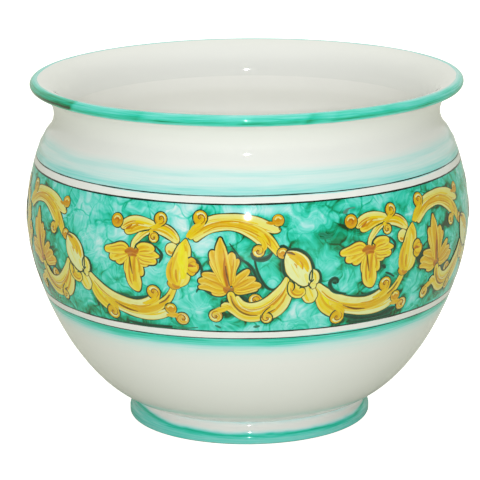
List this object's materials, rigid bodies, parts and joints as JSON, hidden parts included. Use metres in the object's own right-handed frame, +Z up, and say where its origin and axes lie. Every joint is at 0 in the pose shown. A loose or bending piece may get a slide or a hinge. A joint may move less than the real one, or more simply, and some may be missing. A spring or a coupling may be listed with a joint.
{
  "type": "cachepot",
  "caption": "Bulbous glazed cachepot with an everted rounded lip, a narrow throat, a wide belly for a painted band and a turned foot ring.",
  "frame": {"origin": "centre of the foot ring's standing face, on the axis of the pot", "axes": "+Z up along the axis of turning, through the mouth; -Y towards the side that the picture shows"},
  "size_m": [0.36, 0.36, 0.282],
  "materials": {
    "painted_rim_glaze": "glossy tin glaze, turquoise paint on the lip",
    "tin_glaze": "glossy tin glaze, off-white, painted band on the belly",
    "painted_foot_glaze": "glossy tin glaze, turquoise paint on the bead, bare standing face"
  },
  "bodies": {
    "root": {"rim_lip": "painted_rim_glaze", "shoulder_wall": "tin_glaze", "bowl_wall": "tin_glaze", "base_floor": "tin_glaze", "foot_ring": "painted_foot_glaze"}
  },
  "joints": []
}
